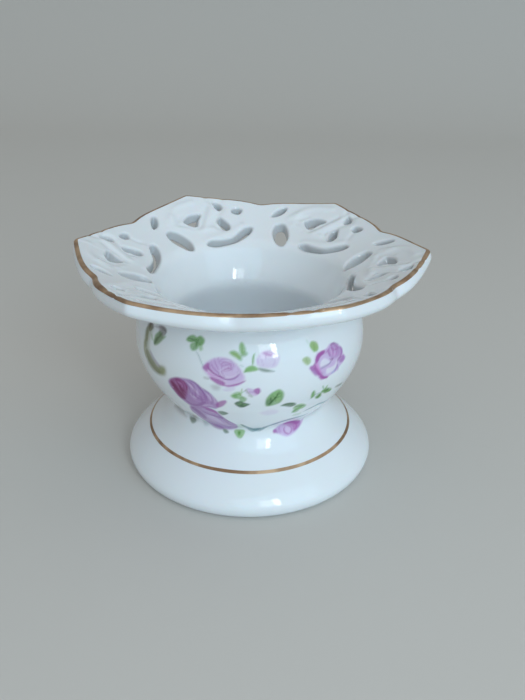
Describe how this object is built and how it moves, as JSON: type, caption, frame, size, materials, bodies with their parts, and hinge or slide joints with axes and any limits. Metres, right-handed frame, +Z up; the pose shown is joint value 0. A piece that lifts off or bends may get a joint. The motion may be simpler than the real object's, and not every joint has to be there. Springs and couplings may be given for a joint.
{
  "type": "candlestick",
  "caption": "Low porcelain candle holder: flared hollow foot, bulbous bowl with a flat candle seat and a wide lobed rim, pierced and edged with a gilt line.",
  "frame": {"origin": "centre of the standing ring, on the surface that it stands on", "axes": "+Z up along the turning axis; +X towards the tip of one rim lobe; +Y to the left of +X seen from above, over a notch between two lobes"},
  "size_m": [0.1146, 0.1056, 0.0771],
  "materials": {
    "glazed_porcelain": "cool white porcelain under a clear glossy glaze",
    "printed_porcelain": "glossy white glaze with a transfer print of lilac-pink roses and yellow-green leaves",
    "gilding": "thin burnished gold line, slightly worn"
  },
  "bodies": {
    "root": {"foot": "glazed_porcelain", "bowl": "printed_porcelain", "pierced_rim": "glazed_porcelain", "rim_gilding": "gilding", "foot_gilding": "gilding"}
  },
  "joints": []
}
